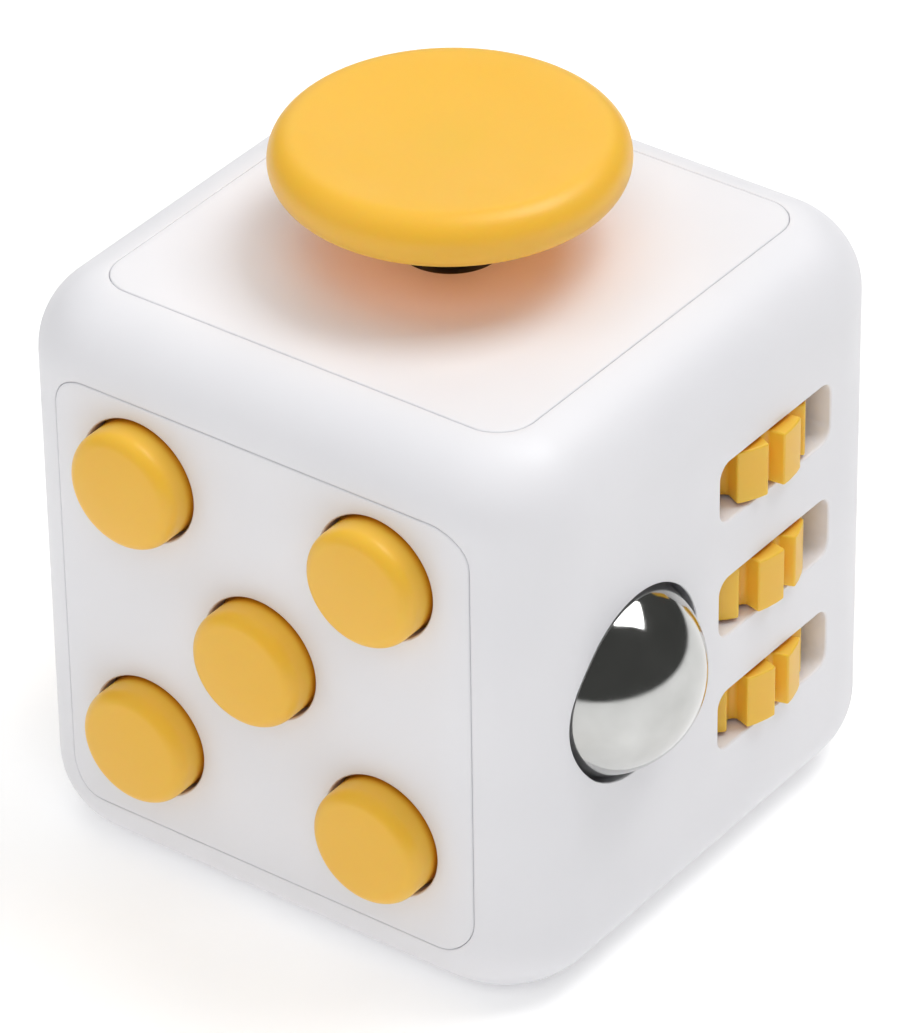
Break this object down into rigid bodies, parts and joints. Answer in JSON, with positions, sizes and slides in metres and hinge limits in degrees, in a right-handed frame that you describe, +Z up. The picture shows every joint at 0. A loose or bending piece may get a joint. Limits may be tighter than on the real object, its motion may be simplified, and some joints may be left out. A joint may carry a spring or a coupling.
{
  "type": "fidget cube",
  "caption": "Hand-size rounded cube toy with a joystick, press buttons, a rolling steel ball with thumb wheels, a rocker switch, a spinning dial and a thumb dish on its faces.",
  "frame": {"origin": "centre of the bottom face, on the surface that the cube rests on", "axes": "+Z up through the joystick; -Y out of the button face; +X out of the ball and thumb-wheel face"},
  "size_m": [0.0395, 0.0362, 0.0397],
  "materials": {
    "white_plastic": "satin moulded",
    "yellow_plastic": "satin moulded",
    "dark_plastic": "moulded",
    "polished_steel": "mirror polished",
    "spring_steel": "bright",
    "zinc_steel": "zinc plated",
    "brass": "turned",
    "silicone": "soft"
  },
  "bodies": {
    "body": {"housing": "white_plastic", "top_panel": "white_plastic", "front_panel": "white_plastic", "back_panel": "white_plastic", "bottom_panel": "white_plastic", "left_panel": "white_plastic", "joystick_cup": "dark_plastic", "joystick_spring": "zinc_steel", "joystick_screw_1": "zinc_steel", "joystick_screw_2": "zinc_steel", "joystick_screw_3": "zinc_steel", "button_backplate": "dark_plastic", "button_screw_1": "zinc_steel", "button_screw_2": "zinc_steel", "button_screw_3": "zinc_steel", "snap_dome_1": "spring_steel", "silicone_dome_2": "silicone", "snap_dome_3": "spring_steel", "silicone_dome_4": "silicone", "snap_dome_5": "spring_steel", "ball_bracket": "dark_plastic", "ball_click_dome": "spring_steel", "ball_screw_1": "zinc_steel", "ball_screw_2": "zinc_steel", "wheel_axle": "spring_steel", "wheel_spacer_1": "dark_plastic", "wheel_spacer_2": "dark_plastic", "wheel_bracket": "dark_plastic", "wheel_click_spring": "spring_steel", "wheel_screw_1": "zinc_steel", "wheel_screw_2": "zinc_steel", "rocker_pin": "spring_steel", "rocker_base": "dark_plastic", "rocker_screw_1": "zinc_steel", "rocker_screw_2": "zinc_steel", "dial_bushing": "brass"},
    "gimbal": {"gimbal_ring": "dark_plastic"},
    "joystick": {"joystick_cap": "yellow_plastic", "joystick_stem": "dark_plastic"},
    "button_1": {"button_cap_1": "yellow_plastic"},
    "button_2": {"button_cap_2": "yellow_plastic"},
    "button_3": {"button_cap_3": "yellow_plastic"},
    "button_4": {"button_cap_4": "yellow_plastic"},
    "button_5": {"button_cap_5": "yellow_plastic"},
    "ball_carrier": {"ball_cup": "dark_plastic"},
    "ball_seat": {"ball_seat_ring": "brass"},
    "ball": {"steel_ball": "polished_steel"},
    "wheel_1": {"thumb_wheel_1": "yellow_plastic"},
    "wheel_2": {"thumb_wheel_2": "yellow_plastic"},
    "wheel_3": {"thumb_wheel_3": "yellow_plastic"},
    "rocker": {"rocker": "yellow_plastic", "rocker_plunger": "spring_steel", "rocker_spring": "zinc_steel"},
    "dial": {"dial": "yellow_plastic", "dial_washer": "zinc_steel", "dial_screw": "zinc_steel"}
  },
  "joints": [
    {"name": "joystick_tilt_x", "type": "hinge", "parent": "body", "child": "gimbal", "pos_m": [0, 0, 0.028], "axis": [1, 0, 0], "range_deg": [-10, 10], "stiffness_Nm_per_rad": 0.02, "deforming": ["joystick_spring"]},
    {"name": "joystick_tilt_y", "type": "hinge", "parent": "gimbal", "child": "joystick", "pos_m": [0, 0, 0.028], "axis": [0, 1, 0], "range_deg": [-10, 10], "stiffness_Nm_per_rad": 0.02, "deforming": ["joystick_spring"]},
    {"name": "button_press_1", "type": "slide", "parent": "body", "child": "button_1", "axis": [0, 1, 0], "range_m": [0, 0.001], "stiffness_N_per_m": 800, "deforming": ["snap_dome_1"]},
    {"name": "button_press_2", "type": "slide", "parent": "body", "child": "button_2", "axis": [0, 1, 0], "range_m": [0, 0.001], "stiffness_N_per_m": 800, "deforming": ["silicone_dome_2"]},
    {"name": "button_press_3", "type": "slide", "parent": "body", "child": "button_3", "axis": [0, 1, 0], "range_m": [0, 0.001], "stiffness_N_per_m": 800, "deforming": ["snap_dome_3"]},
    {"name": "button_press_4", "type": "slide", "parent": "body", "child": "button_4", "axis": [0, 1, 0], "range_m": [0, 0.001], "stiffness_N_per_m": 800, "deforming": ["silicone_dome_4"]},
    {"name": "button_press_5", "type": "slide", "parent": "body", "child": "button_5", "axis": [0, 1, 0], "range_m": [0, 0.001], "stiffness_N_per_m": 800, "deforming": ["snap_dome_5"]},
    {"name": "ball_press", "type": "slide", "parent": "body", "child": "ball_carrier", "axis": [-1, 0, 0], "range_m": [0, 0.0008], "stiffness_N_per_m": 1500, "deforming": ["ball_click_dome"]},
    {"name": "ball_seat_turn", "type": "hinge", "parent": "ball_carrier", "child": "ball_seat", "pos_m": [0.0142, -0.0072, 0.01695], "axis": [1, 0, 0], "continuous": true},
    {"name": "ball_roll", "type": "hinge", "parent": "ball_seat", "child": "ball", "pos_m": [0.0142, -0.0072, 0.01695], "axis": [0, 0, 1], "continuous": true},
    {"name": "wheel_spin_1", "type": "hinge", "parent": "body", "child": "wheel_1", "pos_m": [0.012, 0.00495, 0.02405], "axis": [0, 0, 1], "continuous": true},
    {"name": "wheel_spin_2", "type": "hinge", "parent": "body", "child": "wheel_2", "pos_m": [0.012, 0.00495, 0.01705], "axis": [0, 0, 1], "continuous": true},
    {"name": "wheel_spin_3", "type": "hinge", "parent": "body", "child": "wheel_3", "pos_m": [0.012, 0.00495, 0.01005], "axis": [0, 0, 1], "continuous": true},
    {"name": "rocker_flip", "type": "hinge", "parent": "body", "child": "rocker", "pos_m": [-0.0144, 0, 0.0165], "axis": [0, 1, 0], "range_deg": [0, 24]},
    {"name": "dial_spin", "type": "hinge", "parent": "body", "child": "dial", "pos_m": [0, 0.0165, 0.0165], "axis": [0, 1, 0], "continuous": true}
  ]
}
